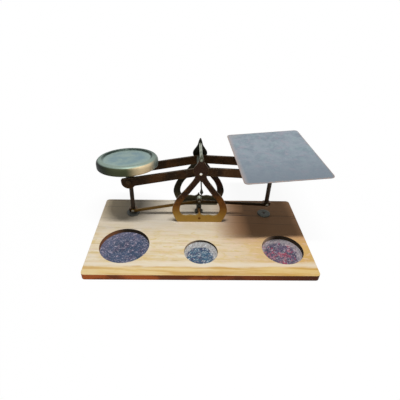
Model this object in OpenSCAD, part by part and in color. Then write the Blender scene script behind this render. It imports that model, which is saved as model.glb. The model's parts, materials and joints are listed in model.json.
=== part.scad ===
// Parallel-link letter balance on a wooden board, pans above the beam.
// X runs along the beam, Y from the front edge to the back, Z up.
// Origin: centre of the board's underside. Stored pose: the dish side is down on its stop.

/* [Base board] */
// Length of the board along the beam
board_w = 210; // [206:1:240]
// Depth of the board
board_d = 114; // [112:1:140]
// Thickness of the board
board_t = 6; // [6:0.5:10]
// Radius of the four upright corners
board_corner_r = 3.6; // [1:0.1:5]

/* [Weight wells] */
// Radius of the left well
well_left_r = 23.8; // [18:0.1:25]
// Left well centre along X
well_left_x = -72.7; // [-75:0.1:-68]
// Left well centre along Y
well_left_y = -19.1; // [-28:0.1:-17]
// Radius of the middle well
well_middle_r = 15.9; // [10:0.1:18]
// Middle well centre along X
well_middle_x = 0.5; // [-5:0.1:5]
// Middle well centre along Y
well_middle_y = -27.4; // [-32:0.1:-20]
// Radius of the right well
well_right_r = 19.6; // [15:0.1:22]
// Right well centre along X
well_right_x = 78.9; // [70:0.1:80]
// Right well centre along Y
well_right_y = -23.6; // [-30:0.1:-18]
// Wood left under the two outer wells
well_floor_t = 1.2; // [0.8:0.1:1.6]
// Depth of the middle well below the board's top
well_middle_depth = 2.6; // [1.5:0.1:4]
// Thickness of the paper lining in each well
lining_t = 0.4; // [0.2:0.1:0.8]
// Gap round a lining
lining_clear = 0.15; // [0.05:0.05:0.5]

/* [Side frames] */
// Front face of the front frame along Y
frame_front_y = 16.8; // [16:0.1:17.5]
// Clear distance between the two frames
frame_gap = 35.2; // [34.6:0.1:36]
// Thickness of a frame plate
frame_t = 1.6; // [1.2:0.1:2]
// Half width of a frame at its round loops
frame_half_w = 28.2; // [26:0.1:32]
// Half width of a frame at the waist under the fulcrum
waist_half_w = 5.5; // [4.5:0.1:7]
// Half width of the leaf head at its belly
belly_half_w = 7.5; // [6.5:0.1:9]
// Height of the leaf tip above the fulcrum
head_rise = 20.1; // [16:0.1:24]
// Height of the foot bar at the bottom of a frame
foot_bar_h = 8.1; // [7.5:0.1:10]
// Height of the cusp that stands on the foot bar
cusp_rise = 4.2; // [2:0.1:6]
// Half width of the cusp's tip
cusp_tip = 0.3; // [0.2:0.1:0.6]
// Height of the waves on top of the foot bar
foot_wave_h = 0.8; // [0.4:0.1:1.2]
// Rise of the opening's outer corner above the foot bar
loop_corner_rise = 4; // [3:0.1:5]
// How much wider than the waist a frame is at the shoulder below it
shoulder_out = 2.3; // [1.5:0.1:3]
// Width of the foot flange bent inward
flange_w = 42; // [36:1:44]
// Depth of the foot flange
flange_d = 5.6; // [5:0.1:7]
// Distance between the two screws of a flange
flange_screw_pitch = 28; // [20:1:30]
// Diameter of the flange screws' heads
screw_head_d = 4; // [3.4:0.1:4.4]
// Diameter of the flange screws' shanks
screw_shank_d = 2; // [1.6:0.1:2.4]
// Length of a flange screw
screw_len = 4.4; // [3.6:0.1:5.4]
// Height of the cone under a flange screw's head
screw_cone_h = 1; // [0.8:0.1:1.1]
// Width of a flange screw's slot
screw_slot_w = 0.6; // [0.4:0.1:0.8]
// Depth of a flange screw's slot
screw_slot_h = 0.4; // [0.2:0.1:0.6]

/* [Tie rods] */
// Diameter of the top and bottom tie rods
tie_d = 2.8; // [2.4:0.1:3.2]
// Diameter of the riveted tenons on the tie rods
tie_tenon_d = 1.6; // [1.2:0.1:1.8]
// Height of the bottom tie rod's axis over the board
tie_low_h = 5.1; // [4.6:0.1:5.8]
// Drop of the top tie rod's axis below the leaf tip
tie_top_drop = 5.4; // [5:0.1:7]
// Diameter of the riveted heads
rivet_head_d = 2.8; // [2.2:0.1:3.2]
// Height of the riveted heads
rivet_head_h = 0.5; // [0.3:0.1:0.8]

/* [Beam] */
// Height of the fulcrum over the board
fulcrum_h = 58.4; // [56:0.1:62]
// Diameter of the fulcrum pin
fulcrum_d = 3.6; // [3:0.1:4.2]
// How far the fulcrum pin stands out of the frames before its domed ends
fulcrum_proud = 0.1; // [0.1:0.1:0.5]
// Height of the fulcrum pin's domed ends
fulcrum_dome_h = 0.7; // [0.4:0.1:1]
// Distance from the fulcrum to an end pin along the level beam
arm_len = 72; // [68:0.5:74]
// Drop of the end pins below the fulcrum when the beam is level
beam_drop = 8.8; // [6:0.1:10]
// Thickness of a beam bar
bar_t = 2; // [1.5:0.1:2.4]
// Clear distance between the two beam bars
bar_gap = 24; // [22:0.5:25]
// Height of a beam bar at its middle
bar_mid_h = 8.8; // [8:0.1:11]
// Height of a beam bar at its ends
bar_end_h = 9.9; // [8.5:0.1:11]
// Radius of the round lobe at each end of a bar
lobe_r = 7.1; // [6.5:0.1:7.4]
// Drop of a bar's centre line below the fulcrum
bar_centre_drop = 0.5; // [0:0.1:1]
// Cut at the upper outer corners of a bar
bar_corner_cut = 1.2; // [0.6:0.1:2]
// Tilt of the beam in the stored pose, dish side down
rest_tilt = 3.9; // [2:0.1:5]
// Diameter of the two end pins
end_pin_d = 3; // [2.4:0.1:3.4]
// Diameter of the end pins' riveted heads
end_head_d = 5; // [4:0.1:6]
// Height of the end pins' riveted heads
end_head_h = 0.8; // [0.5:0.1:1.2]
// Width of the cross-piece along the beam
cross_w = 6.4; // [6:0.1:9]
// Height of the cross-piece
cross_h = 7.4; // [6:0.1:8]
// Outer diameter of the two collars beside the frames
collar_d = 6.4; // [5.5:0.1:8]

/* [Pointer] */
// Diameter of the pointer rod
pointer_d = 1.4; // [1:0.1:2]
// Width of the pointer's blade
blade_w = 3.8; // [2.5:0.1:5]
// Length of the pointer's blade
blade_len = 8; // [6:0.5:12]
// Thickness of the pointer's blade
blade_t = 1; // [0.8:0.1:1.2]
// Gap between the pointer's tip and the index point
pointer_gap = 0.6; // [0.4:0.1:2]
// Metal left between the pointer's hole and the fulcrum pin
pointer_wall = 0.4; // [0.3:0.1:0.8]

/* [Stop pads] */
// Diameter of a stop pad
pad_d = 14; // [10:0.5:16]
// Thickness of a stop pad
pad_t = 1.4; // [1:0.1:2]
// Distance of the pads' centres in front of the posts
pad_forward = 1.3; // [0:0.1:2]
// Gap between the lowered foot and its pad
stop_gap = 0.2; // [0.1:0.05:0.5]
// Diameter of the pads' nail heads
nail_head_d = 3; // [2.5:0.1:4]
// Thickness of the pads' nail heads
nail_head_t = 0.5; // [0.3:0.1:0.7]
// Diameter of the pads' nails
nail_d = 1.2; // [1:0.1:1.6]
// Length of a nail in the board
nail_len = 3.6; // [3:0.1:4.5]
// Depth of the nail heads below the pads' tops
nail_sink = 0.2; // [0.1:0.1:0.3]

/* [Posts and feet] */
// Diameter of the pan posts
post_d = 4.4; // [3.8:0.1:5]
// Distance of the posts in front of the pans' own axes
post_forward = 2.5; // [1:0.1:3]
// Diameter of the spigots at both ends of a post
post_spigot_d = 2; // [1.6:0.1:2.4]
// Length of the upper spigots of the posts
post_spigot_len = 2; // [1.5:0.1:2.1]
// Length of the lower spigots of the posts
foot_spigot_len = 1; // [0.8:0.1:1.1]
// Width of a foot block along the beam
foot_w = 8.4; // [7:0.1:10]
// Thickness of a foot block along Y
foot_t = 4; // [4:0.1:5]
// Height of a foot block
foot_h = 4.4; // [4.2:0.1:5.5]
// Cut at the corners of a foot block
foot_corner_cut = 0.8; // [0.4:0.1:1]
// Diameter of the stay's pins
stay_pin_d = 1.6; // [1.2:0.1:1.8]
// Diameter of the stay pins' heads
stay_head_d = 3.2; // [2.6:0.1:3.6]
// Height of the stay pins' heads
stay_head_h = 0.9; // [0.6:0.1:1.2]

/* [Lower stay] */
// Height of the stay bar
stay_h = 3; // [2.4:0.1:3.6]
// Thickness of the stay bar
stay_t = 1.6; // [1.2:0.1:2]
// Radius of the stay's end eyes
stay_eye_r = 2; // [1.9:0.1:2.2]
// Radius of the stay's centre eye
stay_centre_r = 2.8; // [2.4:0.1:3.4]
// Extra radius of the end eyes round their pins
stay_end_clear = 0.2; // [0.1:0.05:0.3]

/* [Index post] */
// Diameter of the index post's head, and of its lower end round the bottom tie rod
index_d = 5.2; // [4.6:0.1:6]
// Diameter of the index post between the tie rod and the head
index_neck_d = 2.8; // [2.4:0.1:4]
// Diameter of the index post's base
index_base_d = 9; // [7:0.5:10]
// Height of the index post's base
index_base_h = 1.2; // [0.8:0.1:1.6]
// Height of the pointed top above the stay's pivot
index_rise = 3; // [2.6:0.1:4]
// Diameter of the index point's blunt tip
index_tip_d = 0.5; // [0.3:0.1:1]

/* [Pan carriers] */
// Diameter of a carrier's cross barrel
barrel_d = 8.4; // [8.2:0.1:9.5]
// Gap between a barrel and a beam bar
barrel_clear = 0.8; // [0.4:0.1:1.5]
// Diameter of a carrier's stem
stem_d = 6.4; // [5.5:0.1:7.5]
// Diameter of the spigot that enters a pan's socket
spigot_d = 4.6; // [3.5:0.1:5]
// Metal left over a spigot in its socket
socket_roof = 0.6; // [0.5:0.1:1]
// Outer diameter of a pan's socket
socket_d = 11; // [9:0.5:14]
// Height of a pan's socket
socket_h = 4; // [3.5:0.1:5]

/* [Weight dish] */
// Outer radius of the dish
dish_r = 30.5; // [27:0.1:32]
// Height of the dish
dish_h = 9.4; // [8.8:0.1:11]
// Radius of the round shoulder under the rim
dish_shoulder_r = 4.5; // [3:0.1:5]
// Width of the flat rim round the recess
rim_w = 1.2; // [0.8:0.1:2]
// Depth of the recess in the dish's top
dish_recess = 1.5; // [1:0.1:2.4]
// How far the recess's wall leans in
dish_wall_slope = 0.9; // [0.4:0.1:1.5]
// Thickness of the dish's floor
dish_floor_t = 2; // [1.6:0.1:2.4]
// Thickness of the dish's skirt
dish_skirt_t = 2.2; // [1.8:0.1:3]
// Radius of the dish's lower edge
dish_edge_r = 1.5; // [0.8:0.1:1.7]
// Radius of the solid hub under the dish's floor
dish_hub_r = 8; // [7.5:0.1:12]
// How far the dish sits off its socket's axis, away from the beam
dish_shift = 1.5; // [0:0.1:2]
// Height of the dish's underside over its end pin
dish_seat = 11.6; // [11.4:0.1:15]
// Lean of the dish, front edge up
dish_lean = 7.4; // [0:0.1:7.6]
// Lean of the dish, inner edge up
dish_side_lean = 1.8; // [0:0.1:3]

/* [Letter plate] */
// Size of the letter plate along X
plate_w = 79; // [70:1:90]
// Size of the letter plate along Y
plate_d = 104; // [90:1:110]
// Thickness of the letter plate
plate_t = 0.7; // [0.6:0.1:1]
// Corner radius of the letter plate
plate_corner_r = 4; // [2:0.5:8]
// Turn of the letter plate on its socket
plate_turn = 2.9; // [-5:0.1:5]
// Lean of the letter plate, outer side up
plate_lean = 4; // [0:0.1:5]
// Height of the plate's underside over its end pin
plate_seat = 16.6; // [15:0.1:20]

/* [Fits] */
// Radial clearance of a pin that turns
run_clear = 0.05; // [0.02:0.01:0.1]
// Radial clearance of a pin that is fixed
fix_clear = 0.02; // [0.01:0.01:0.05]
// Axial gap between pieces that move past each other
side_clear = 0.3; // [0.2:0.05:0.5]
// Gap past the end of a screw, nail or pin in its blind hole
blind_gap = 0.2; // [0.1:0.1:0.4]
// Gap past the end of a seated spigot
seat_gap = 0.05; // [0.02:0.01:0.1]

/* [Hidden] */
$fn = 48;
eps = 0.01;
// How far a hole's cutter runs past the face that it opens
cut = 1;
deck = board_t;
mid_y = frame_front_y + frame_t + frame_gap / 2;
post_y = mid_y - post_forward;
rear_frame_y = frame_front_y + frame_t + frame_gap;
front_bar_y = mid_y - bar_gap / 2 - bar_t;
rear_bar_y = mid_y + bar_gap / 2;
fulcrum_z = deck + fulcrum_h;
frame_top_z = fulcrum_z + head_rise;
tie_low_z = deck + tie_low_h;
tie_top_z = frame_top_z - tie_top_drop;

// A point of the level linkage, turned with the beam about its pivot
function tilted(x, z, a) = [x * cos(a) - z * sin(a), x * sin(a) + z * cos(a)];
left_off = tilted(-arm_len, -beam_drop, rest_tilt);
right_off = tilted(arm_len, -beam_drop, rest_tilt);

// The lowered foot stands on its pad; the stay's pivot follows from it
foot_low_z = deck + pad_t + stop_gap;
stay_pin_low_z = foot_low_z + foot_h / 2;
stay_z = stay_pin_low_z - left_off[1];
link_h = fulcrum_z - stay_z;

left_x = left_off[0];
right_x = right_off[0];
left_pin_z = fulcrum_z + left_off[1];
right_pin_z = fulcrum_z + right_off[1];

// The stay lies in front of the feet
stay_face_y = post_y - foot_t / 2;
stay_back_y = stay_face_y - side_clear;
stay_front_y = stay_back_y - stay_t;
stay_pin_deep = foot_t * 0.8;
index_top_z = stay_z + index_rise;
index_shoulder_h = (index_d - index_neck_d) / 2;
pointer_len = fulcrum_z - index_top_z - pointer_gap;
blade_lap = 1;
bar_end_x = arm_len + lobe_r;
nail_head_z = pad_t - nail_sink - nail_head_t;

wood = "#c9a877";
brass_dark = "#5a4028";
brass_gold = "#a07a30";
brass_pale = "#a9a48c";
steel = "#c9c9c6";
pad_grey = "#474a42";
slate = "#56586a";
dish_green = "#8f9d9b";
plate_blue = "#929ea9";

// A smooth curve through its points
function curve_at(a, b, c, d, t) =
    0.5 * (2 * b + (c - a) * t + (2 * a - 5 * b + 4 * c - d) * t * t
    + (3 * b - a - 3 * c + d) * t * t * t);
function curve(p, n) = concat(
    [for (i = [0:len(p) - 2], k = [0:n - 1])
        curve_at(p[max(i - 1, 0)], p[i], p[i + 1], p[min(i + 2, len(p) - 1)], k / n)],
    [p[len(p) - 1]]);
function flip(p) = [for (i = [len(p) - 1:-1:0]) [-p[i][0], p[i][1]]];

// Right half of a frame's outline, from the foot up to the leaf tip
frame_outer = curve([
    [0.805 * frame_half_w, 0],
    [0.925 * frame_half_w, 0.11 * fulcrum_h],
    [frame_half_w, 0.24 * fulcrum_h],
    [0.965 * frame_half_w, 0.35 * fulcrum_h],
    [0.87 * frame_half_w, 0.46 * fulcrum_h],
    [0.75 * frame_half_w, 0.555 * fulcrum_h],
    [0.55 * frame_half_w, 0.675 * fulcrum_h],
    [0.40 * frame_half_w, 0.775 * fulcrum_h],
    [waist_half_w + shoulder_out, 0.86 * fulcrum_h],
    [waist_half_w, 0.945 * fulcrum_h],
    [0.93 * belly_half_w, fulcrum_h + 0.08 * head_rise],
    [belly_half_w, fulcrum_h + 0.19 * head_rise],
    [0.90 * belly_half_w, fulcrum_h + 0.32 * head_rise],
    [0.62 * belly_half_w, fulcrum_h + 0.48 * head_rise],
    [0.37 * belly_half_w, fulcrum_h + 0.64 * head_rise],
    [0.25 * belly_half_w, fulcrum_h + 0.82 * head_rise],
    [0.08 * belly_half_w, fulcrum_h + head_rise]], 4);

// Right half of the opening, from the cusp round to its apex
frame_inner = curve([
    [cusp_tip, foot_bar_h + cusp_rise],
    [0.06 * frame_half_w, foot_bar_h + 0.35 * cusp_rise],
    [0.17 * frame_half_w, foot_bar_h],
    [0.33 * frame_half_w, foot_bar_h + 0.9 * foot_wave_h],
    [0.50 * frame_half_w, foot_bar_h - foot_wave_h / 8],
    [0.63 * frame_half_w, foot_bar_h + foot_wave_h],
    [0.71 * frame_half_w, foot_bar_h + loop_corner_rise],
    [0.73 * frame_half_w, 0.28 * fulcrum_h],
    [0.69 * frame_half_w, 0.38 * fulcrum_h],
    [0.59 * frame_half_w, 0.48 * fulcrum_h],
    [0.43 * frame_half_w, 0.58 * fulcrum_h],
    [0.20 * frame_half_w, 0.74 * fulcrum_h],
    [0.02 * frame_half_w, 0.865 * fulcrum_h]], 4);

// A cylinder along Y from y0 to y1
module rod_y(d, y0, y1, x = 0, z = 0) {
    translate([x, y0, z])
        rotate([-90, 0, 0])
            cylinder(d = d, h = y1 - y0);
}

// An outline drawn in X and Z, standing with its front face at y0
module plate_xz(t, y0) {
    translate([0, y0 + t, 0])
        rotate([90, 0, 0])
            linear_extrude(height = t)
                children();
}

module rounded_slab(w, d, h, r) {
    translate([-w / 2 + r, -d / 2, 0])
        cube([w - 2 * r, d, h]);
    translate([-w / 2, -d / 2 + r, 0])
        cube([w, d - 2 * r, h]);
    for (sx = [-1, 1], sy = [-1, 1])
        translate([sx * (w / 2 - r), sy * (d / 2 - r), 0])
            cylinder(r = r, h = h);
}

// Everything that turns with the beam is drawn level and tilted here
module with_beam() {
    translate([0, 0, fulcrum_z])
        rotate([0, -rest_tilt, 0])
            children();
}

module at_screws() {
    for (sx = [-1, 1], fy = [frame_front_y + frame_t + flange_d / 2, rear_frame_y - flange_d / 2])
        translate([sx * flange_screw_pitch / 2, fy, deck])
            children();
}

module at_pads() {
    for (sx = [-1, 1])
        translate([sx * -left_x, post_y - pad_forward, deck])
            children();
}

module base_board() {
    color(wood)
        difference() {
            rounded_slab(board_w, board_d, board_t, board_corner_r);
            translate([well_left_x, well_left_y, well_floor_t])
                cylinder(r = well_left_r, h = board_t, $fn = 96);
            translate([well_middle_x, well_middle_y, board_t - well_middle_depth])
                cylinder(r = well_middle_r, h = board_t, $fn = 96);
            translate([well_right_x, well_right_y, well_floor_t])
                cylinder(r = well_right_r, h = board_t, $fn = 96);
            at_screws()
                translate([0, 0, frame_t - screw_len - blind_gap])
                    cylinder(d = screw_shank_d + 2 * fix_clear, h = screw_len + blind_gap);
            at_pads()
                translate([0, 0, -nail_len - blind_gap])
                    cylinder(d = nail_d + 2 * fix_clear, h = nail_len + blind_gap + cut);
        }
}

module lining(x, y, z, r) {
    color(slate)
        translate([x, y, z])
            cylinder(r = r - lining_clear, h = lining_t, $fn = 96);
}

module well_lining_left() {
    lining(well_left_x, well_left_y, well_floor_t, well_left_r);
}

module well_lining_middle() {
    lining(well_middle_x, well_middle_y, board_t - well_middle_depth, well_middle_r);
}

module well_lining_right() {
    lining(well_right_x, well_right_y, well_floor_t, well_right_r);
}

// One frame plate with its flange; dir is +1 when the flange points to +Y
module side_frame(y0, dir) {
    flange_y = dir > 0 ? y0 + frame_t : y0 - flange_d;
    difference() {
        union() {
            translate([0, 0, deck])
                plate_xz(frame_t, y0)
                    difference() {
                        polygon(concat(frame_outer, flip(frame_outer)));
                        polygon(concat(frame_inner, flip(frame_inner)));
                    }
            translate([-flange_w / 2, flange_y, deck])
                cube([flange_w, flange_d, frame_t]);
        }
        rod_y(fulcrum_d + 2 * run_clear, y0 - cut, y0 + frame_t + cut, 0, fulcrum_z);
        rod_y(tie_tenon_d + 2 * fix_clear, y0 - cut, y0 + frame_t + cut, 0, tie_low_z);
        rod_y(tie_tenon_d + 2 * fix_clear, y0 - cut, y0 + frame_t + cut, 0, tie_top_z);
        at_screws() {
            translate([0, 0, -cut])
                cylinder(d = screw_shank_d + 2 * fix_clear, h = frame_t + 2 * cut);
            translate([0, 0, frame_t - screw_cone_h])
                cylinder(d1 = screw_shank_d + 2 * fix_clear, d2 = screw_head_d + 2 * fix_clear,
                    h = screw_cone_h + eps);
        }
    }
}

module front_side_frame() {
    color(brass_gold)
        side_frame(frame_front_y, 1);
}

module rear_side_frame() {
    color(brass_dark)
        side_frame(rear_frame_y, -1);
}

module frame_screws() {
    color(brass_dark)
        at_screws()
            difference() {
                union() {
                    translate([0, 0, frame_t - screw_len])
                        cylinder(d = screw_shank_d, h = screw_len - screw_cone_h);
                    translate([0, 0, frame_t - screw_cone_h])
                        cylinder(d1 = screw_shank_d, d2 = screw_head_d, h = screw_cone_h);
                }
                translate([-screw_head_d, -screw_slot_w / 2, frame_t - screw_slot_h])
                    cube([2 * screw_head_d, screw_slot_w, 2 * screw_slot_h]);
            }
}

// A tie rod between the frames, its tenons riveted over outside
module tie_rod(z) {
    rod_y(tie_d, frame_front_y + frame_t, rear_frame_y, 0, z);
    rod_y(tie_tenon_d, frame_front_y, rear_frame_y + frame_t, 0, z);
    for (s = [-1, 1])
        translate([0, s < 0 ? frame_front_y : rear_frame_y + frame_t, z])
            rotate([s < 0 ? 90 : -90, 0, 0])
                cylinder(d = rivet_head_d, h = rivet_head_h);
}

module top_tie_rod() {
    color(brass_pale)
        tie_rod(tie_top_z);
}

module bottom_tie_rod() {
    color(brass_dark)
        tie_rod(tie_low_z);
}

// Turned post over the bottom tie: it carries the stay and ends in the index point
module index_post() {
    color(brass_pale)
        difference() {
            union() {
                translate([0, mid_y, deck])
                    cylinder(d = index_base_d, h = index_base_h);
                translate([0, mid_y, deck])
                    cylinder(d = index_d, h = tie_low_h + tie_d);
                translate([0, mid_y, tie_low_z + tie_d])
                    cylinder(d1 = index_d, d2 = index_neck_d, h = index_shoulder_h);
                translate([0, mid_y, deck])
                    cylinder(d = index_neck_d, h = stay_z - deck);
                translate([0, mid_y, stay_z])
                    sphere(d = index_d);
                translate([0, mid_y, stay_z + index_d * 0.35])
                    cylinder(d1 = index_d * 0.7, d2 = index_tip_d, h = index_rise - index_d * 0.35);
                rod_y(stay_head_d, stay_face_y, mid_y, 0, stay_z);
            }
            rod_y(tie_d + 2 * fix_clear, mid_y - index_base_d, mid_y + index_base_d, 0, tie_low_z);
            rod_y(stay_pin_d + 2 * fix_clear, stay_face_y - cut, stay_face_y + stay_pin_deep, 0,
                stay_z);
        }
}

// A pin with a head, fixed at its back end and carrying the stay at its front
module stay_pin(x, z) {
    rod_y(stay_pin_d, stay_front_y - side_clear, stay_face_y + stay_pin_deep - blind_gap, x, z);
    rod_y(stay_head_d, stay_front_y - side_clear - stay_head_h, stay_front_y - side_clear, x, z);
}

module stay_centre_pin() {
    color(steel)
        stay_pin(0, stay_z);
}

module stop_pad(sx) {
    color(pad_grey)
        translate([sx * -left_x, post_y - pad_forward, deck])
            difference() {
                cylinder(d = pad_d, h = pad_t);
                translate([0, 0, -cut])
                    cylinder(d = nail_d + 2 * fix_clear, h = pad_t + 2 * cut);
                translate([0, 0, nail_head_z])
                    cylinder(d = nail_head_d + 2 * fix_clear, h = pad_t);
            }
}

module stop_pad_left() {
    stop_pad(-1);
}

module stop_pad_right() {
    stop_pad(1);
}

module stop_nails() {
    color(brass_dark)
        at_pads() {
            translate([0, 0, -nail_len])
                cylinder(d = nail_d, h = nail_len + nail_head_z);
            translate([0, 0, nail_head_z])
                cylinder(d = nail_head_d, h = nail_head_t);
        }
}

// Height of the bar's centre line and half its depth at a distance x from the fulcrum
function bar_line(x) = -bar_centre_drop - (beam_drop - bar_centre_drop) * abs(x) / arm_len;
function bar_half(x) = (bar_mid_h + (bar_end_h - bar_mid_h) * abs(x) / arm_len) / 2;

module bar_outline() {
    difference() {
        union() {
            polygon([
                [-bar_end_x, bar_line(bar_end_x) - bar_half(bar_end_x)],
                [0, bar_line(0) - bar_half(0)],
                [bar_end_x, bar_line(bar_end_x) - bar_half(bar_end_x)],
                [bar_end_x, bar_line(bar_end_x) + bar_half(bar_end_x) - bar_corner_cut],
                [bar_end_x - bar_corner_cut, bar_line(bar_end_x) + bar_half(bar_end_x)],
                [0, bar_line(0) + bar_half(0)],
                [-bar_end_x + bar_corner_cut, bar_line(bar_end_x) + bar_half(bar_end_x)],
                [-bar_end_x, bar_line(bar_end_x) + bar_half(bar_end_x) - bar_corner_cut]]);
            for (s = [-1, 1])
                intersection() {
                    translate([s * arm_len, -beam_drop])
                        circle(r = lobe_r);
                    translate([s * arm_len - lobe_r, -beam_drop - 2 * lobe_r])
                        square([2 * lobe_r, 2 * lobe_r + bar_half(arm_len) / 2]);
                }
        }
        // The lower outer corners follow the round lobes
        for (s = [-1, 1])
            difference() {
                translate([s > 0 ? arm_len : -arm_len - 2 * lobe_r, -beam_drop - 2 * lobe_r])
                    square([2 * lobe_r, 2 * lobe_r]);
                translate([s * arm_len, -beam_drop])
                    circle(r = lobe_r);
            }
    }
}

module beam_bar(y0) {
    with_beam()
        difference() {
            plate_xz(bar_t, y0)
                bar_outline();
            rod_y(fulcrum_d + 2 * fix_clear, y0 - cut, y0 + bar_t + cut, 0, 0);
            for (s = [-1, 1])
                rod_y(end_pin_d + 2 * fix_clear, y0 - cut, y0 + bar_t + cut, s * arm_len,
                    -beam_drop);
        }
}

module beam_front_bar() {
    color(brass_dark)
        beam_bar(front_bar_y);
}

module beam_rear_bar() {
    color(brass_dark)
        beam_bar(rear_bar_y);
}

module beam_crosspiece() {
    color(brass_pale)
        with_beam()
            difference() {
                translate([-cross_w / 2, mid_y - bar_gap / 2, -cross_h / 2])
                    cube([cross_w, bar_gap, cross_h]);
                rod_y(fulcrum_d + 2 * fix_clear, front_bar_y, rear_bar_y, 0, 0);
                translate([0, mid_y, -cross_h])
                    cylinder(d = pointer_d + 2 * fix_clear,
                        h = cross_h - fulcrum_d / 2 - pointer_wall);
            }
}

module fulcrum_pin() {
    front_end = frame_front_y - fulcrum_proud;
    rear_end = rear_frame_y + frame_t + fulcrum_proud;
    color(steel)
        translate([0, 0, fulcrum_z]) {
            rod_y(fulcrum_d, front_end, rear_end);
            for (s = [-1, 1])
                translate([0, s < 0 ? front_end : rear_end, 0])
                    rotate([s < 0 ? 90 : -90, 0, 0])
                        cylinder(d1 = fulcrum_d, d2 = fulcrum_d / 2, h = fulcrum_dome_h);
        }
}

// Two collars keep the beam centred between the frames
module fulcrum_collars() {
    front_y = frame_front_y + frame_t + side_clear;
    color(brass_gold)
        with_beam()
            for (y = [front_y, rear_bar_y + bar_t])
                difference() {
                    rod_y(collar_d, y, y + front_bar_y - front_y);
                    rod_y(fulcrum_d + 2 * fix_clear, y - cut, y + front_bar_y);
                }
}

module end_pin(x, z) {
    rod_y(end_pin_d, front_bar_y, rear_bar_y + bar_t, x, z);
    rod_y(end_head_d, front_bar_y - end_head_h, front_bar_y, x, z);
    rod_y(end_head_d, rear_bar_y + bar_t, rear_bar_y + bar_t + end_head_h, x, z);
}

module end_pin_left() {
    color(steel)
        end_pin(left_x, left_pin_z);
}

module end_pin_right() {
    color(steel)
        end_pin(right_x, right_pin_z);
}

module pointer() {
    color(brass_pale)
        with_beam()
            translate([0, mid_y, 0]) {
                translate([0, 0, -pointer_len + blade_len - blade_lap])
                    cylinder(d = pointer_d,
                        h = pointer_len - blade_len + blade_lap
                            - fulcrum_d / 2 - pointer_wall - blind_gap);
                translate([0, blade_t / 2, -pointer_len])
                    rotate([90, 0, 0])
                        linear_extrude(height = blade_t)
                            polygon([
                                [0, 0],
                                [blade_w / 2, blade_len * 0.45],
                                [pointer_d / 2, blade_len],
                                [-pointer_d / 2, blade_len],
                                [-blade_w / 2, blade_len * 0.45]]);
            }
}

module lower_stay() {
    slope = atan2(beam_drop, arm_len);
    length = sqrt(arm_len * arm_len + beam_drop * beam_drop);
    color(brass_gold)
        translate([0, 0, stay_z])
            rotate([0, -rest_tilt, 0])
                difference() {
                    plate_xz(stay_t, stay_front_y)
                        union() {
                            for (s = [-1, 1]) {
                                rotate([0, 0, s > 0 ? -slope : 180 + slope])
                                    translate([0, -stay_h / 2])
                                        square([length, stay_h]);
                                translate([s * arm_len, -beam_drop])
                                    circle(r = stay_eye_r);
                            }
                            circle(r = stay_centre_r);
                        }
                    rod_y(stay_pin_d + 2 * run_clear, stay_front_y - cut, stay_back_y + cut, 0, 0);
                    for (s = [-1, 1])
                        rod_y(stay_pin_d + 2 * stay_end_clear, stay_front_y - cut,
                            stay_back_y + cut, s * arm_len, -beam_drop);
                }
}

// Cross barrel on the end pin, post socket below, stem and spigot above
module carrier(x, pin_z, seat) {
    half = bar_gap / 2 - barrel_clear;
    shoulder = seat - socket_h;
    color(brass_dark)
        difference() {
            union() {
                rod_y(barrel_d, mid_y - half, mid_y + half, x, pin_z);
                translate([x, mid_y, pin_z])
                    cylinder(d = stem_d, h = shoulder);
                translate([x, mid_y, pin_z])
                    cylinder(d = spigot_d, h = seat - socket_roof - seat_gap);
            }
            rod_y(end_pin_d + 2 * run_clear, mid_y - half - cut, mid_y + half + cut, x, pin_z);
            translate([x, post_y, pin_z - barrel_d / 2 - cut])
                cylinder(d = post_spigot_d + 2 * fix_clear, h = post_spigot_len + seat_gap + cut);
        }
}

module left_carrier() {
    carrier(left_x, left_pin_z, dish_seat);
}

module right_carrier() {
    carrier(right_x, right_pin_z, plate_seat);
}

// The post is cut round the barrel at its top and enters the foot at its bottom
module pan_post(x, pin_z) {
    stay_pin_z = pin_z - link_h;
    foot_top = stay_pin_z + foot_h / 2;
    color(brass_dark)
        difference() {
            union() {
                translate([x, post_y, foot_top])
                    cylinder(d = post_d, h = pin_z - foot_top);
                translate([x, post_y, foot_top - foot_spigot_len])
                    cylinder(d = post_spigot_d, h = pin_z - barrel_d / 2 + post_spigot_len
                        - foot_top + foot_spigot_len);
            }
            difference() {
                rod_y(barrel_d, post_y - post_d, post_y + post_d, x, pin_z);
                translate([x, post_y, pin_z - barrel_d])
                    cylinder(d = post_spigot_d, h = barrel_d / 2 + post_spigot_len);
            }
        }
}

module left_post() {
    pan_post(left_x, left_pin_z);
}

module right_post() {
    pan_post(right_x, right_pin_z);
}

// Block at the foot of a post, behind the stay's eye
module foot(x, pin_z) {
    stay_pin_z = pin_z - link_h;
    half_w = foot_w / 2;
    half_h = foot_h / 2;
    color(brass_dark)
        difference() {
            translate([x, 0, stay_pin_z])
                plate_xz(foot_t, stay_face_y)
                    polygon([
                        [-half_w, -half_h + foot_corner_cut],
                        [-half_w + foot_corner_cut, -half_h],
                        [half_w - foot_corner_cut, -half_h],
                        [half_w, -half_h + foot_corner_cut],
                        [half_w, half_h - foot_corner_cut],
                        [half_w - foot_corner_cut, half_h],
                        [-half_w + foot_corner_cut, half_h],
                        [-half_w, half_h - foot_corner_cut]]);
            translate([x, post_y, stay_pin_z + half_h - foot_spigot_len - seat_gap])
                cylinder(d = post_spigot_d + 2 * fix_clear, h = foot_spigot_len + seat_gap + cut);
            rod_y(stay_pin_d + 2 * fix_clear, stay_face_y - cut, stay_face_y + stay_pin_deep, x,
                stay_pin_z);
        }
}

module left_foot() {
    foot(left_x, left_pin_z);
}

module right_foot() {
    foot(right_x, right_pin_z);
}

module left_stay_pin() {
    color(steel)
        stay_pin(left_x, left_pin_z - link_h);
}

module right_stay_pin() {
    color(steel)
        stay_pin(right_x, right_pin_z - link_h);
}

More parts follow.
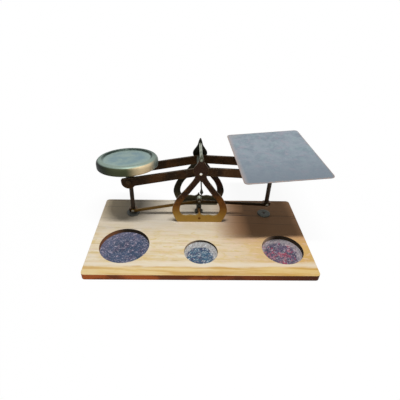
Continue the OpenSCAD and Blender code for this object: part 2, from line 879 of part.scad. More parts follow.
// Dish with a shallow recess and a round shoulder, hollow underneath round its hub
module weight_dish() {
    recess_r = dish_r - dish_shoulder_r - rim_w;
    hollow_r = dish_r - dish_skirt_t;
    hollow_h = dish_h - dish_recess - dish_floor_t;
    color(dish_green)
        translate([left_x - dish_shift, mid_y, left_pin_z + dish_seat])
            rotate([-dish_lean, -dish_side_lean, 0])
                rotate_extrude($fn = 120)
                    polygon(concat(
                        [[0, 0], [dish_hub_r, 0], [dish_hub_r, hollow_h]],
                        [[hollow_r, hollow_h], [hollow_r, 0]],
                        [for (a = [-90:30:0])
                            [dish_r - dish_edge_r + dish_edge_r * cos(a),
                            dish_edge_r + dish_edge_r * sin(a)]],
                        [for (a = [0:15:90])
                            [dish_r - dish_shoulder_r + dish_shoulder_r * cos(a),
                            dish_h - dish_shoulder_r + dish_shoulder_r * sin(a)]],
                        [[recess_r, dish_h], [recess_r - dish_wall_slope, dish_h - dish_recess]],
                        [[0, dish_h - dish_recess]]));
}

// Socket under a pan, its top cut to the pan's own slope
module pan_socket(x, pin_z, seat, lean, shift = 0) {
    color(brass_dark)
        translate([x, mid_y, pin_z + seat])
            difference() {
                translate([0, 0, -socket_h])
                    cylinder(d = socket_d, h = socket_h + socket_d / 4);
                translate([0, 0, -socket_h - cut])
                    cylinder(d = spigot_d + 2 * fix_clear, h = socket_h + cut - socket_roof);
                translate([-shift, 0, 0])
                    rotate(lean)
                        translate([-socket_d, -socket_d, 0])
                            cube([2 * socket_d, 2 * socket_d, socket_d]);
            }
}

module dish_socket() {
    pan_socket(left_x, left_pin_z, dish_seat, [-dish_lean, -dish_side_lean, 0], dish_shift);
}

module plate_socket() {
    pan_socket(right_x, right_pin_z, plate_seat, [0, -plate_lean, 0]);
}

module letter_plate() {
    color(plate_blue)
        translate([right_x, mid_y, right_pin_z + plate_seat])
            rotate([0, -plate_lean, 0])
                rotate([0, 0, plate_turn])
                    rounded_slab(plate_w, plate_d, plate_t, plate_corner_r);
}

base_board();
well_lining_left();
well_lining_middle();
well_lining_right();
front_side_frame();
rear_side_frame();
frame_screws();
top_tie_rod();
bottom_tie_rod();
index_post();
stay_centre_pin();
stop_pad_left();
stop_pad_right();
stop_nails();
beam_front_bar();
beam_rear_bar();
beam_crosspiece();
fulcrum_pin();
fulcrum_collars();
end_pin_left();
end_pin_right();
pointer();
lower_stay();
left_carrier();
left_post();
left_foot();
left_stay_pin();
weight_dish();
dish_socket();
right_carrier();
right_post();
right_foot();
right_stay_pin();
letter_plate();
plate_socket();
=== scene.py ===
"""Looks of the parallel-link letter balance: brass patinas, a waxed board, mottled linings."""
import json
import math

import bmesh
import bpy
from mathutils import Matrix, Vector


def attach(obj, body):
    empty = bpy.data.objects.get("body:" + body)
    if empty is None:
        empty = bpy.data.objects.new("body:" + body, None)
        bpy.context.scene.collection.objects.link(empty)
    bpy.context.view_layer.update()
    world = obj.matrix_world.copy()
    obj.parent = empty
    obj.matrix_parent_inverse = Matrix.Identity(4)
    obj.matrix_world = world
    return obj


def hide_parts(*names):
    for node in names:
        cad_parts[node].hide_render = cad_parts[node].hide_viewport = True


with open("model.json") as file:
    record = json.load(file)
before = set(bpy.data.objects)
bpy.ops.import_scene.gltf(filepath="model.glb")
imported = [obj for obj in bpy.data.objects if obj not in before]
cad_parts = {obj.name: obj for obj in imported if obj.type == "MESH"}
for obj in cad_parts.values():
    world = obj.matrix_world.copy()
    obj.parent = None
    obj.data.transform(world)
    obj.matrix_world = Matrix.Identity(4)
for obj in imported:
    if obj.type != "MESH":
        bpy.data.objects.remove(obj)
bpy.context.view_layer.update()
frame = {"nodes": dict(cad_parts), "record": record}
nodes = frame["nodes"]
record = frame["record"]
body_of_node = {n: body for body, names in record["behaviour"]["bodies"].items() for n in names}

MM = 0.001
# Sockets of a Mix node that mixes colours
FACTOR, FIRST, SECOND, MIXED = 0, 6, 7, 2


def linear(hex_colour):
    """The linear colour of an sRGB hex value."""
    parts = [int(hex_colour[i:i + 2], 16) / 255 for i in (1, 3, 5)]
    return [p / 12.92 if p <= 0.04045 else ((p + 0.055) / 1.055) ** 2.4 for p in parts] + [1.0]


def grain(size):
    """Texture scale at which one blotch is about size millimetres wide."""
    return 1 / (size * MM)


def add(tree, kind, inputs=None, give=0, **settings):
    """Adds a node and gives one of its outputs; an input takes a value, a hex colour or a link."""
    new = tree.nodes.new(kind)
    for name, value in settings.items():
        setattr(new, name, value)
    for key, value in (inputs or {}).items():
        if isinstance(value, bpy.types.NodeSocket):
            tree.links.new(value, new.inputs[key])
        elif isinstance(value, str):
            new.inputs[key].default_value = linear(value)
        else:
            new.inputs[key].default_value = value
    return new.outputs[give] if new.outputs else new


def share_of(tree, first, *others):
    """The product of shares: each a number, a link, or a value and the range it grows through."""
    if isinstance(first, tuple):
        value, low, high = first
        first = add(tree, "ShaderNodeMapRange", {"Value": value, "From Min": low, "From Max": high},
                    interpolation_type="SMOOTHSTEP")
    if not others:
        return first
    return add(tree, "ShaderNodeMath", {0: first, 1: share_of(tree, *others)}, operation="MULTIPLY")


def painted(tree, colour, *layers):
    """Lays paints over a colour in turn, each with the shares that say where and how strongly."""
    for paint, *shares in layers:
        colour = add(tree, "ShaderNodeMix", {
            FACTOR: share_of(tree, *shares), FIRST: colour, SECOND: paint}, MIXED, data_type="RGBA")
    return colour


def blotches(tree, place, size, detail=4.0, rough=0.6, twist=0.0, drawn_out=1.0, turn=0.0):
    """Cloudy noise, blotches about size millimetres wide, drawn out along X and turned in degrees."""
    place = add(tree, "ShaderNodeMapping", {
        "Vector": place, "Scale": (drawn_out, 1.0, 1.0), "Rotation": (0.0, 0.0, math.radians(turn))},
        vector_type="TEXTURE")
    return add(tree, "ShaderNodeTexNoise", {
        "Vector": place, "Scale": grain(size), "Detail": detail, "Roughness": rough, "Distortion": twist})


def along(tree, place, axis, low, high):
    """Grows from 0 to 1 along an axis between two places in millimetres."""
    return share_of(tree, (add(tree, "ShaderNodeSeparateXYZ", {"Vector": place}, axis), low * MM, high * MM))


def worn_edges(tree, place, reach, keep=0.45):
    """Bright along edges that hands rub, as far in as reach in millimetres, broken up by noise."""
    rounded = add(tree, "ShaderNodeBevel", {"Radius": reach * MM}, samples=6)
    flat = add(tree, "ShaderNodeNewGeometry", give="Normal")
    agree = add(tree, "ShaderNodeVectorMath", {0: rounded, 1: flat}, "Value", operation="DOT_PRODUCT")
    return share_of(tree, (agree, 0.995, 0.86), (blotches(tree, place, 2.2, 3.0), keep - 0.12, keep + 0.12))


def start_finish(name):
    """A new material with its node tree and the place on its piece."""
    material = bpy.data.materials.new(name)
    material.use_nodes = True
    material.node_tree.nodes.clear()
    return material, material.node_tree, add(material.node_tree, "ShaderNodeTexCoord", give="Object")


def end_finish(tree, colour, rough, relief, relief_mm, metal=0.0, **constants):
    """The surface itself: colour, a pattern with its least and most roughness, and a relief."""
    pattern, smooth, matt = rough
    roughness = add(tree, "ShaderNodeMapRange", {
        "Value": pattern, "From Min": 0.3, "From Max": 0.7, "To Min": smooth, "To Max": matt},
        interpolation_type="SMOOTHSTEP")
    bump = add(tree, "ShaderNodeBump", {"Height": relief, "Distance": relief_mm * MM, "Strength": 1.0})
    surface = add(tree, "ShaderNodeBsdfPrincipled", {
        "Base Color": colour, "Roughness": roughness, "Metallic": metal, "Normal": bump,
        **{name.replace("_", " "): value for name, value in constants.items()}})
    add(tree, "ShaderNodeOutputMaterial", {"Surface": surface})


def old_brass(name, bare, patina, grime_and_shade, rough, metal=0.85, patch=9.0, even=0.5, darker=None, warmer=None,
              tinted=None, ringed=None, rub=0.75, scratch=0.02):
    """Brass that was left to dull: bare metal on rubbed edges, patina, and grime in clouds.

    darker, warmer and tinted take an axis and two places in millimetres, warmer and tinted a colour
    too; along darker the grime_and_shade colour thickens as painted shade. ringed takes the height of a pin's
    axis, two radii between which dirt sets in, and its colour.
    """
    material, tree, place = start_finish(name)
    clouds = blotches(tree, place, patch, 5.0, 0.62, 0.4)
    specks = blotches(tree, place, 0.8, 3.0)
    cloudy = share_of(tree, (clouds, even - 0.16, even + 0.2))
    if darker:
        slope = along(tree, place, *darker)
        cloudy = add(tree, "ShaderNodeMath", {0: cloudy, 1: slope, 2: slope}, operation="MULTIPLY_ADD",
                     use_clamp=True)
    if warmer:
        patina = painted(tree, patina, (warmer[3], along(tree, place, *warmer[:3])))
    colour = painted(tree, patina, (grime_and_shade, cloudy))
    if tinted:
        colour = painted(tree, colour, (tinted[3], along(tree, place, *tinted[:3])))
    if ringed:
        height, clean, dirty, dirt = ringed
        across = add(tree, "ShaderNodeVectorMath", {0: place, 1: (1.0, 0.0, 1.0)}, operation="MULTIPLY")
        away = add(tree, "ShaderNodeVectorMath", {0: across, 1: (0.0, 0.0, height * MM)}, "Value",
                   operation="DISTANCE")
        colour = painted(tree, colour, (dirt, (away, clean * MM, dirty * MM)))
    colour = painted(tree, colour, (bare, (specks, 0.56, 0.72), 0.25), (bare, worn_edges(tree, place, 0.5), rub))
    end_finish(tree, colour, (clouds, rough - 0.1, rough + 0.12), specks, scratch, metal)
    return material


# Waxed pale oak: cream face with fine grain along the beam and soft tan figure across it, a
# yellow band along the front, greyer towards the back with painted light and painted shade where the
# dish's and the plate's shadows fall, orange-brown sides, and well walls that are pale or orange-brown
# to the left where they face right and painted dark as shade elsewhere.
def waxed_oak():
    material, tree, place = start_finish("waxed_oak")
    streaks = blotches(tree, place, 4.0, 4.0, 0.55, 0.3, 16, -2)
    figure = blotches(tree, place, 9.0, 4.0, 0.55, 0.5, 5, -18)
    lines = blotches(tree, place, 0.9, 5.0, 0.6, 0.25, 34, -1)
    pores = blotches(tree, place, 0.5, 2.0, 0.5, 0.0, 8)
    clouds = blotches(tree, place, 26.0, 3.0, 0.5)
    hues = blotches(tree, place, 3.2, 4.0, 0.66, 0.5, 3, -4)
    face = painted(
        tree, "#DBCEB4",
        ("#D2BE96", (streaks, 0.38, 0.62)),
        ("#D2B682", (figure, 0.48, 0.66), 0.45),
        ("#DCD3C3", (clouds, 0.46, 0.64), 0.6),
        ("#C8A264", along(tree, place, "X", -10, 105)),
        ("#967A50", (lines, 0.54, 0.68), 0.45),
        ("#7C6248", (pores, 0.64, 0.76), 0.35),
        ("#CBB06A", (hues, 0.53, 0.64), 0.6),
        ("#DCC0AA", (hues, 0.47, 0.37), 0.5))

    # Latewood band a few millimetres behind the front edge, with a paler one behind it
    band_back, band_front, pale_back, pale_front = (v * MM for v in (-40.5, -43.5, -34, -39))
    depth = add(tree, "ShaderNodeSeparateXYZ", {"Vector": place}, "Y")
    wavy = add(tree, "ShaderNodeMath", {0: blotches(tree, place, 7.0, 4.0, 0.6, 0.3, 6), 1: 9 * MM, 2: depth},
               operation="MULTIPLY_ADD")
    band_colour = painted(tree, "#D8BE82", ("#BE9448", (streaks, 0.4, 0.6)))
    face = painted(
        tree, face,
        (band_colour, (wavy, band_back, band_front), 0.75),
        ("#DED3BF", (wavy, band_front, band_back), (wavy, pale_back, pale_front), 0.7))

    # Towards the back the wood is greyer; at the back left it is painted paler as light against the
    # dish's shadow, under the letter plate it is painted brown as shade, and a few long thin dark lines cross it
    wave = blotches(tree, place, 9.0, 2.0, 0.4, 0.0, 44, -2)
    # A few long thin dark lines across the back of the board
    thin_dark_line = add(tree, "ShaderNodeMath", {0: wave, 1: 0.5, 2: 0.006}, operation="COMPARE")
    face = painted(
        tree, face,
        ("#BDB4A6", along(tree, place, "Y", -16, 22), 0.8),
        # Paler at the back left: painted light against the dish's shadow
        ("#F0DCBC", along(tree, place, "X", -62, -100), along(tree, place, "Y", 4, 40), 0.9),
        # Brown under the letter plate: painted shade in its shadow
        ("#B68862", along(tree, place, "X", 10, 46), along(tree, place, "Y", -22, 2), 0.95),
        ("#4A4036", thin_dark_line, along(tree, place, "Y", 3, 9), 0.75))

    # Outer sides are stained orange-brown, darker to the right and in blots
    normal = add(tree, "ShaderNodeTexCoord", give="Normal")
    upright = add(tree, "ShaderNodeMath", {0: add(tree, "ShaderNodeSeparateXYZ", {"Vector": normal}, "Z")},
                  operation="ABSOLUTE")
    stain = painted(
        tree, "#AC5824",
        ("#4E2208", along(tree, place, "X", -100, 125)),
        ("#4A2410", (figure, 0.42, 0.62), 0.7))
    wall_and_shade = painted(tree, "#C0A68C", ("#A66E48", along(tree, place, "X", -40, -92)))
    to_right = add(tree, "ShaderNodeSeparateXYZ", {"Vector": normal}, "X")
    # Well walls that don't face right are painted dark as shade; those facing right keep the wall colour
    wall_and_shade = painted(tree, "#3E3426", (wall_and_shade, (to_right, 0.05, 0.75)))
    reach = add(tree, "ShaderNodeVectorMath", {0: place}, operation="ABSOLUTE")
    outside = add(tree, "ShaderNodeMath", {
        0: along(tree, reach, "X", 103, 104.5), 1: along(tree, reach, "Y", 55, 56.5)}, operation="MAXIMUM")
    colour = painted(
        tree, face,
        (painted(tree, wall_and_shade, (stain, outside)), (upright, 0.75, 0.35)),
        ("#B4A184", worn_edges(tree, place, 0.7, 0.42), 0.5))
    end_finish(tree, colour, (streaks, 0.46, 0.62), lines, 0.06, Specular_IOR_Level=0.08)
    return material


def mottled_paper(name, ground, cloud, fleck, accent, fleck_mm, cloud_mm, accent_amount, worn):
    """Printed paper: dark clouds, short pale strokes of ink, and a rubbed pale margin to one side.

    worn takes the clean middle, the two radii between which the paper is rubbed, the rubbed colour
    and how strong it is.
    """
    material, tree, place = start_finish(name)
    clouds = blotches(tree, place, cloud_mm, 4.0, 0.6, 0.9)
    strokes = blotches(tree, place, fleck_mm, 3.0, 0.75, 1.2, 1.8, 35)
    crossed = blotches(tree, place, fleck_mm * 0.8, 3.0, 0.75, 1.2, 1.8, -40)
    specks = blotches(tree, place, fleck_mm * 0.6, 2.0, 0.6)
    accents = blotches(tree, place, cloud_mm * 0.6, 3.0, 0.6, 0.7, 1.4, 70)
    middle, inner, outer, rubbed, amount = worn
    away = add(tree, "ShaderNodeVectorMath", {0: place, 1: [v * MM for v in middle]}, "Value",
               operation="DISTANCE")
    # The clouds make the margin ragged by up to 9 mm, half of it on average
    ragged = 9.0
    margin = add(tree, "ShaderNodeMath", {0: clouds, 1: ragged * MM, 2: away}, operation="MULTIPLY_ADD")
    colour = painted(
        tree, ground,
        (cloud, (clouds, 0.42, 0.58)),
        (accent, (accents, 0.52, 0.6), accent_amount),
        (rubbed, (margin, (inner + ragged / 2) * MM, (outer + ragged / 2) * MM), amount),
        (fleck, (strokes, 0.55, 0.63), 0.75),
        (fleck, (crossed, 0.57, 0.64), 0.6),
        ("#20283C", (specks, 0.56, 0.64), 0.7))
    end_finish(tree, colour, (clouds, 0.55, 0.75), strokes, 0.03)
    return material


# Thick brass with a verdigris-grey film: teal-grey floor with wiped turning marks, a painted dark
# reflection on the back of the recess's inner wall and on the rim towards the back, and a skirt painted
# with a reflection from black-green on the left through a cream highlight to grey-teal at the right.
def dish_patina():
    material, tree, place = start_finish("verdigris_grey_brass")
    clouds = blotches(tree, place, 13.0, 5.0, 0.6, 0.6)
    fine = blotches(tree, place, 1.6, 4.0, 0.65)
    away = add(tree, "ShaderNodeVectorMath", {0: place, 1: dish_centre}, "Value", operation="DISTANCE")
    # The rim is painted darker towards the back as a dark reflection
    rim = painted(tree, "#7C8C82", ("#3C4A44", along(tree, place, "Y", 22, 58)))
    film = painted(
        tree, "#7F9490",
        ("#6C848C", (clouds, 0.36, 0.64)),
        ("#8EA096", (away, 14 * MM, 22 * MM), 0.6),
        (rim, (away, 24.2 * MM, 25.2 * MM)),
        # Painted dark reflection on the back of the recess's inner wall
        ("#24302A", (away, 22.6 * MM, 23.6 * MM), (away, 25.4 * MM, 24.8 * MM), along(tree, place, "Y", 20, 48)),
        ("#93A29A", (fine, 0.5, 0.68), 0.35))
    # The skirt's colour is a painted reflection: black-green on the left, a cream highlight, grey-teal at the
    # right end
    skirt_reflection = painted(
        tree, "#050D0A",
        ("#40442E", along(tree, place, "X", -98, -78)),
        ("#CDB994", along(tree, place, "X", -70, -54)),
        ("#6C766E", along(tree, place, "X", -50, -43.5)),
        ("#3E4634", (clouds, 0.5, 0.66), 0.25))
    upright = add(tree, "ShaderNodeSeparateXYZ", {"Vector": add(tree, "ShaderNodeTexCoord", give="Normal")}, "Z")
    colour = painted(
        tree, film,
        (skirt_reflection, (upright, 0.91, 0.68), (away, 25 * MM, 25.6 * MM)),
        ("#A9B09C", worn_edges(tree, place, 0.6, 0.4), 0.4))
    # Turning marks round the dish's own axis, a tool's pitch of 0.9 mm apart
    turns = add(tree, "ShaderNodeMath", {0: away, 1: 2 * math.pi * grain(0.9)}, operation="MULTIPLY")
    marks = add(tree, "ShaderNodeMath", {0: turns}, operation="SINE")
    relief = add(tree, "ShaderNodeMath", {0: marks, 1: 0.12, 2: fine}, operation="MULTIPLY_ADD")
    end_finish(tree, colour, (clouds, 0.44, 0.58), relief, 0.02, 0.55, Specular_IOR_Level=0.15)
    return material


# Rolled brass sheet gone blue-grey: soft mottling with faint teal and pink, fine scratches both
# ways from sliding letters, a warm rubbed left side and a pinkish bare edge.
def tarnished_sheet():
    material, tree, place = start_finish("tarnished_brass_sheet")
    own = add(tree, "ShaderNodeMapping", {
        "Vector": place, "Location": [v * MM for v in (RIGHT_X, MID_Y, PLATE_Z)],
        "Rotation": (0.0, math.radians(PLATE_LEAN), math.radians(PLATE_TURN))}, vector_type="TEXTURE")
    clouds = blotches(tree, place, 11.0, 5.0, 0.66, 0.4)
    tints = blotches(tree, place, 7.0, 4.0, 0.6, 0.3)
    fine = blotches(tree, place, 1.3, 4.0, 0.7)
    scratches = blotches(tree, place, 0.35, 2.0, 0.5, 0.2, 33, 20)
    corner = share_of(tree, along(tree, own, "X", -18, -39), along(tree, own, "Y", 34, 52))
    handled = add(tree, "ShaderNodeMath", {0: along(tree, own, "X", -34.5, -38.5), 1: corner},
                  operation="MAXIMUM")
    colour = painted(
        tree, "#87929C",
        ("#727E89", (clouds, 0.36, 0.66)),
        ("#84999C", (tints, 0.52, 0.66), 0.5),
        ("#988F9A", (tints, 0.46, 0.34), 0.5),
        ("#9BA5AC", (fine, 0.52, 0.66), 0.55),
        ("#C3C9CC", (scratches, 0.66, 0.74), 0.3),
        ("#6C7680", along(tree, place, "Y", 50, -30)),
        ("#A39894", handled, 0.5),
        ("#A98A76", worn_edges(tree, place, 2.4, 0.42), 0.8))
    end_finish(tree, colour, (clouds, 0.4, 0.56), fine, 0.015, 0.75)
    return material


# Pressed leather pad, nearly black-green with a rubbed paler top and small wrinkles; the left
# one is painted darker as shade.
def pad_leather():
    material, tree, place = start_finish("worn_leather")
    pebbles = add(tree, "ShaderNodeTexVoronoi", {"Vector": place, "Scale": grain(0.9), "Randomness": 1.0},
                  feature="SMOOTH_F1")
    clouds = blotches(tree, place, 3.5, 4.0, 0.6)
    colour = painted(
        tree, "#54574D",
        ("#6F7064", (clouds, 0.4, 0.62)),
        ("#2E302A", (pebbles, 0.35, 0.6), 0.5),
        # The left pad is painted darker as shade
        ("#34383A", along(tree, place, "X", -40, -60), 0.45),
        ("#7C7E75", worn_edges(tree, place, 0.9, 0.42), 0.7))
    end_finish(tree, colour, (clouds, 0.5, 0.68), pebbles, 0.08)
    return material


def turned(outline, steps=72):
    """Turns an outline of radii and heights in millimetres round the vertical axis."""
    shape = bmesh.new()
    points = [shape.verts.new((r * MM, 0, z * MM)) for r, z in outline]
    edges = [shape.edges.new(pair) for pair in zip(points, points[1:])]
    bmesh.ops.spin(shape, geom=points + edges, cent=(0, 0, 0), axis=(0, 0, 1), angle=2 * math.pi,
                   steps=steps, use_merge=True)
    bmesh.ops.remove_doubles(shape, verts=shape.verts, dist=0.001 * MM)
    bmesh.ops.recalc_face_normals(shape, faces=shape.faces)
    return shape


def bow(centre, radius, start, end, steps):
    """Points along an arc of an outline, angles in degrees."""
    angles = [math.radians(start + (end - start) * i / steps) for i in range(steps + 1)]
    return [(centre[0] + radius * math.cos(a), centre[1] + radius * math.sin(a)) for a in angles]


def set_down(name, shape, material, *replaced, ease=0.0, ease_steps=2, angle=35):
    """Makes a finished piece of a shape and puts it in the place of the CAD nodes it stands for."""
    mesh = bpy.data.meshes.new(name)
    shape.to_mesh(mesh)
    shape.free()
    mesh.materials.append(material)
    mesh.shade_smooth()
    mesh.set_sharp_from_angle(angle=math.radians(angle))
    piece = bpy.data.objects.new(name, mesh)
    bpy.context.collection.objects.link(piece)
    if ease:
        bevel = piece.modifiers.new("eased_edges", "BEVEL")
        bevel.width = ease * MM
        bevel.segments = ease_steps
        bevel.limit_method = "ANGLE"
        bevel.angle_limit = math.radians(angle)
        bevel.harden_normals = True
    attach(piece, body_of_node[replaced[0]])
    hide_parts(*replaced)


def dressed(node, name, material, ease=0.25, ease_steps=2):
    """A node's own shape with its facets merged and its edges eased, in millimetres."""
    shape = bmesh.new()
    shape.from_mesh(nodes[node].data)
    bmesh.ops.remove_doubles(shape, verts=shape.verts, dist=0.002 * MM)
    bmesh.ops.dissolve_limit(shape, angle_limit=math.radians(1), verts=shape.verts, edges=shape.edges)
    set_down(name, shape, material, node, ease=ease, ease_steps=ease_steps)


def dress_all(*rows):
    """Dresses nodes; a row is the node, its piece's name, its finish, its edges' ease and its steps."""
    for row in rows:
        dressed(*row)


def at(x, y, z, tilt_x=0.0, tilt_y=0.0):
    """Moves a turned shape from the origin to its place, leaned as given in degrees."""
    return (Matrix.Translation(Vector((x, y, z)) * MM) @ Matrix.Rotation(math.radians(tilt_y), 4, "Y")
            @ Matrix.Rotation(math.radians(tilt_x), 4, "X"))


# Places in millimetres, as the CAD gives them
DECK_Z = 6.0
MID_Y = 36.0
PAD_Y = 32.2
STAY_PIN_Y = 29.3
FULCRUM_Z = 64.4
LEFT_X, RIGHT_X = -71.235, 72.432
STAY_PINS = {"left_stay_pin": (LEFT_X, 9.8), "stay_centre_pin": (0.0, 23.477), "right_stay_pin": (RIGHT_X, 19.594)}
# The letter plate leans and is turned on its post, in degrees
PLATE_Z, PLATE_LEAN, PLATE_TURN = 77.5, -4, 2.9

# The dish's sizes in millimetres: its underside is hollow round a hub, its top a shallow recess
DISH_R, DISH_H = 30.5, 9.4
DISH_SHOULDER_R, DISH_EDGE_R = 4.5, 1.5
DISH_HUB_R, DISH_SKIRT_R = 8.0, 28.3
DISH_HOLLOW, DISH_FLOOR = 5.9, 7.9
DISH_SHIFT, DISH_UNDERSIDE_Z = 1.5, 62.323
DISH_LEAN, DISH_SIDE_LEAN = -7.4, -1.8
dish_place = at(LEFT_X - DISH_SHIFT, MID_Y, DISH_UNDERSIDE_Z, DISH_LEAN, DISH_SIDE_LEAN)
dish_centre = dish_place @ (Vector((0, 0, DISH_FLOOR)) * MM)

oak = waxed_oak()
# Left lining slate blue, middle one teal with a wide pale margin, right one plum with crimson
slate_paper = mottled_paper("slate_print_paper", "#2A3E5A", "#20344C", "#B6ABBA", "#46384F", 2.0, 8.0, 0.5,
                            ((-66.0, -28.0, 1.6), 17.0, 34.0, "#6C6C84", 0.5))
teal_paper = mottled_paper("teal_print_paper", "#22405A", "#2F566E", "#D4DADC", "#33284A", 2.0, 5.0, 0.85,
                           ((-0.5, -32.0, 3.8), 11.5, 13.5, "#A3A09D", 0.9))
plum_paper = mottled_paper("plum_print_paper", "#4C3E58", "#333248", "#C3B6BA", "#A03048", 2.0, 7.0, 0.7,
                           ((77.2, -26.4, 1.6), 14.5, 18.0, "#938C8E", 0.8))
# Front frame: painted light bounced up from the board, golden at the foot, orange-brown up the sides
# and nearly black-brown at the head as painted shade, and a painted grey-green reflection at its leaf tip
golden_frame = old_brass("golden_frame_brass", "#B8A160", "#A88842", "#2C1A12", 0.44, patch=5,
                         darker=("Z", 8, 64), warmer=("Z", 10, 30, "#845420"),
                         tinted=("Z", 78, 84, "#646A5C"), rub=0.3)
# Rear frame: black-green, red-brown to the right, olive at the foot
dark_frame = old_brass("black_green_frame_brass", "#6F6248", "#2C2A20", "#1E211B", 0.45, patch=8,
                       warmer=("X", 2, 22, "#44261E"), tinted=("Z", 24, 12, "#4C4838"), rub=0.4)
# Small fittings: dark brown, ochre, pale grey-green, which is the top tie rod's brass painted pale as
# lit, and grey
dark_brass = old_brass("dark_brass", "#8A6C40", "#3E2E1E", "#241B12", 0.42)
warm_rivet = old_brass("rivet_brass", "#9A6A1E", "#7A5212", "#5A3A10", 0.4)
pale_brass = old_brass("pale_rod_brass", "#B9BAAA", "#989C8C", "#6C7266", 0.38, patch=6)
grey_brass = old_brass("grey_block_brass", "#8C9082", "#5C6258", "#3C423A", 0.42, patch=5)
# Index post: pale grey-green head, its foot painted dark as shade
index_brass = old_brass("index_post_brass", "#A9AB9C", "#7E8274", "#2C2A22", 0.4, patch=5, darker=("Z", 21, 18))
# Beam bars: chocolate brown; stay: olive to the left and darker to the right as painted shade under the
# letter plate; posts and feet umber
bar_brass = old_brass("brown_bar_brass", "#8A8068", "#3E2711", "#21150A", 0.4, patch=14)
stay_brass = old_brass("olive_stay_brass", "#9A7C44", "#6E5428", "#2A2014", 0.4, patch=8, darker=("X", -34, 24))
post_brass = old_brass("umber_post_brass", "#7E6E60", "#4C4038", "#2C2620", 0.38, patch=7)
foot_brass = old_brass("brown_block_brass", "#A8927A", "#5E4630", "#33251A", 0.36, patch=4)
# Steel: dark pointer, dull stay pins, and a fulcrum polished bright inside a ring of dirt
rod_steel = old_brass("dark_rod_steel", "#8C9090", "#4C504E", "#303432", 0.34, metal=1.0, patch=3, scratch=0.004)
pin_steel = old_brass("dull_pin_steel", "#C9C6BC", "#8F8A7C", "#5E5A50", 0.32, metal=1.0, patch=3, scratch=0.004)
steel = old_brass("polished_steel", "#FAFAF8", "#F4F4F0", "#DCDCD8", 0.3, metal=1.0, patch=3,
                  ringed=(FULCRUM_Z, 1.1, 1.5, "#3C2A20"), rub=0.0, scratch=0.004)
dish_brass = dish_patina()
sheet_brass = tarnished_sheet()
leather = pad_leather()

dress_all(
    ("base_board", "board", oak, 0.5, 3),
    ("well_lining_left", "lining_left", slate_paper, 0.15),
    ("well_lining_middle", "lining_middle", teal_paper, 0.15),
    ("well_lining_right", "lining_right", plum_paper, 0.15),
    ("front_side_frame", "front_frame", golden_frame, 0.25),
    ("rear_side_frame", "rear_frame", dark_frame, 0.25),
    ("frame_screws", "flange_screws", dark_brass, 0.08, 1),
    ("index_post", "index_column", index_brass, 0.2),
    ("beam_front_bar", "front_bar", bar_brass, 0.22),
    ("beam_rear_bar", "rear_bar", bar_brass, 0.22),
    ("beam_crosspiece", "crosspiece", grey_brass, 0.3),
    ("fulcrum_collars", "collars", dark_brass, 0.2),
    ("pointer", "pointer_needle", rod_steel, 0.12),
    ("lower_stay", "stay_bar", stay_brass, 0.2),
    ("left_carrier", "left_pan_carrier", dark_brass, 0.3),
    ("left_post", "left_pan_post", post_brass, 0.1),
    ("right_carrier", "right_pan_carrier", dark_brass, 0.3),
    ("right_post", "right_pan_post", post_brass, 0.1),
    ("dish_socket", "dish_collar", dark_brass, 0.4),
    ("plate_socket", "plate_collar", dark_brass, 0.4),
    ("letter_plate", "letter_tray", sheet_brass, 0.2))

# The dish, turned from the middle of its underside round its edge and shoulder to its recess
underside = [(0.0, 0.0), (DISH_HUB_R - 0.3, 0.0), (DISH_HUB_R, 0.3), (DISH_HUB_R, DISH_HOLLOW - 0.4),
             (DISH_HUB_R + 0.4, DISH_HOLLOW), (DISH_SKIRT_R - 0.4, DISH_HOLLOW), (DISH_SKIRT_R, DISH_HOLLOW - 0.4),
             (DISH_SKIRT_R, 0.3), (DISH_SKIRT_R + 0.2, 0.0)]
shoulder = (bow((DISH_R - DISH_EDGE_R, DISH_EDGE_R), DISH_EDGE_R, -90, 0, 8)
            + bow((DISH_R - DISH_SHOULDER_R, DISH_H - DISH_SHOULDER_R), DISH_SHOULDER_R, 0, 90, 18))
recess = [(25.3, DISH_H), (25.0, 9.33), (24.78, 9.16), (24.62, 8.9), (24.22, 8.3), (24.0, 8.06), (23.6, 7.93),
          (23.0, DISH_FLOOR), (22.2, DISH_FLOOR), (21.9, 7.82), (21.6, DISH_FLOOR), (0.0, 7.86)]
dish = turned(underside + shoulder + recess, 144)
dish.transform(dish_place)
set_down("turned_dish", dish, dish_brass, "weight_dish", angle=50)

dress_all(
    ("left_foot", "left_foot_block", foot_brass, 0.45, 3),
    ("right_foot", "right_foot_block", foot_brass, 0.45, 3))

# Stay pins with low domed heads, their heads to the front
PIN_R, PIN_HEAD_R, PIN_LENGTH = 0.8, 1.6, 5.2
for node, (x, z) in STAY_PINS.items():
    pin = turned([(0.0, PIN_LENGTH), (PIN_R - 0.1, PIN_LENGTH), (PIN_R, PIN_LENGTH - 0.1), (PIN_R, 0.0),
                  (PIN_HEAD_R, 0.0), (PIN_HEAD_R, -0.35), (1.3, -0.68), (0.75, -0.85), (0.0, -0.9)], 32)
    pin.transform(at(x, STAY_PIN_Y, z, -90))
    set_down(node.replace("pin", "rivet_pin"), pin, pin_steel, node, angle=45)

# Leather pads, pressed thinner at the rim, with the hole and countersink of their nail
PAD_R, PAD_T, NAIL_R, SINK_R, SINK_Z = 6.95, 1.4, 0.64, 1.56, 0.7
for side, x in (("left", LEFT_X), ("right", -LEFT_X)):
    pad = turned([(NAIL_R, 0.0), (6.6, 0.0), (PAD_R, 0.25), (PAD_R, 0.85), (6.7, 1.2), (6.2, 1.36), (4.6, PAD_T),
                  (2.2, 1.36), (SINK_R, 1.3), (SINK_R, SINK_Z), (NAIL_R, SINK_Z), (NAIL_R, 0.0)], 64)
    pad.transform(at(x, PAD_Y, DECK_Z))
    set_down(side + "_pad", pad, leather, "stop_pad_" + side, angle=50)

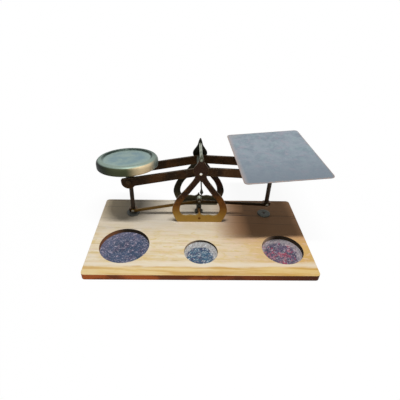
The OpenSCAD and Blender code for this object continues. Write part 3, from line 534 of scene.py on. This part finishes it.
# Riveted rods: the tie rods and the fulcrum, end and nail pins, their ends peened to low domes
dress_all(
    ("top_tie_rod", "top_tie", pale_brass, 0.25, 3),
    ("bottom_tie_rod", "bottom_tie", warm_rivet, 0.25, 3),
    ("fulcrum_pin", "fulcrum", steel, 0.25, 3),
    ("end_pin_left", "left_end_pin", dark_brass, 0.25, 3),
    ("end_pin_right", "right_end_pin", dark_brass, 0.25, 3),
    ("stop_nails", "pad_nails", dark_brass, 0.25, 3))


def seen_directly(tree):
    """1 for what the camera sees, also mirrored or through glass, and 0 for what only gives light."""
    path = {name: add(tree, "ShaderNodeLightPath", give=name)
            for name in ("Is Camera Ray", "Is Glossy Ray", "Is Transmission Ray")}
    seen = add(tree, "ShaderNodeMath", {0: path["Is Camera Ray"], 1: path["Is Glossy Ray"]}, operation="MAXIMUM")
    return add(tree, "ShaderNodeMath", {0: seen, 1: path["Is Transmission Ray"]}, operation="MAXIMUM")


def stage_floor():
    """Pale floor that keeps the object's shadow near it and is plain white further out."""
    half_width, shadow_to, white_from, glow_near = 6.0, 0.12, 0.3, 0.93
    shape = bmesh.new()
    bmesh.ops.create_grid(shape, x_segments=2, y_segments=2, size=half_width)
    mesh = bpy.data.meshes.new("floor")
    shape.to_mesh(mesh)
    shape.free()
    floor = bpy.data.objects.new("floor", mesh)
    bpy.context.collection.objects.link(floor)
    material, tree, place = start_finish("white_paper_floor")
    away = add(tree, "ShaderNodeVectorMath", {0: place}, "Value", operation="LENGTH")
    glow_share = add(tree, "ShaderNodeMapRange", {
        "Value": away, "From Min": shadow_to, "From Max": white_from, "To Min": glow_near, "To Max": 1.0},
        interpolation_type="SMOOTHSTEP")
    lit = add(tree, "ShaderNodeBsdfDiffuse", {"Color": "#F8F8F7"})
    glow = add(tree, "ShaderNodeEmission", {"Color": "#FFFFFF", "Strength": 1.0})
    add(tree, "ShaderNodeOutputMaterial", {"Surface": add(tree, "ShaderNodeMixShader", {
        0: share_of(tree, seen_directly(tree), glow_share), 1: lit, 2: glow})})
    mesh.materials.append(material)


def stage_light():
    """A long narrow lamp nearly overhead and a little to the front, and a soft even sky."""
    length, width, watts, tilt, sky_level = 0.5, 0.045, 8.7, 8, 0.19
    above = Vector((0.05, -0.13, 0.95))
    lamp = bpy.data.lights.new("long_lamp", "AREA")
    lamp.shape = "RECTANGLE"
    lamp.size = length
    lamp.size_y = width
    lamp.energy = watts
    holder = bpy.data.objects.new("long_lamp", lamp)
    holder.matrix_world = Matrix.Translation(above) @ Matrix.Rotation(math.radians(tilt), 4, "X")
    bpy.context.collection.objects.link(holder)
    sky = bpy.data.worlds.new("sky")
    sky.use_nodes = True
    tree = sky.node_tree
    tree.nodes.clear()
    level = add(tree, "ShaderNodeMapRange", {"Value": seen_directly(tree), "To Min": sky_level, "To Max": 1.0})
    light = add(tree, "ShaderNodeBackground", {"Color": "#FFFFFF", "Strength": level})
    add(tree, "ShaderNodeOutputWorld", {"Surface": light})
    bpy.context.scene.world = sky


def stage_camera():
    """The photograph's view: from the front and above, the board a little turned."""
    focal, centre_x, centre_y = 323.53, 192.84, 196.1  # in pixels of the picture
    picture, sensor = 400, 36.0
    eye = Vector((-13.79, -250.22, 220.85)) * MM
    yaw, pitch, roll = (math.radians(v) for v in (-1.385, 34.246, 1.404))
    turn = Matrix.Rotation(yaw, 3, "Z")
    right = turn @ Vector((1, 0, 0))
    ahead = turn @ Vector((0, math.cos(pitch), -math.sin(pitch)))
    up = right.cross(ahead)
    right, up = (math.cos(roll) * right + math.sin(roll) * up, math.cos(roll) * up - math.sin(roll) * right)
    lens = bpy.data.cameras.new("camera")
    lens.lens = focal / picture * sensor
    lens.sensor_width = sensor
    lens.shift_x = (picture / 2 - centre_x) / picture
    lens.shift_y = (centre_y - picture / 2) / picture
    lens.clip_start = 0.01
    camera = bpy.data.objects.new("camera", lens)
    camera.matrix_world = Matrix.Translation(eye) @ Matrix((right, up, -ahead)).transposed().to_4x4()
    bpy.context.collection.objects.link(camera)
    bpy.context.scene.camera = camera


stage_floor()
stage_light()
stage_camera()
bpy.context.scene.view_settings.view_transform = "Standard"
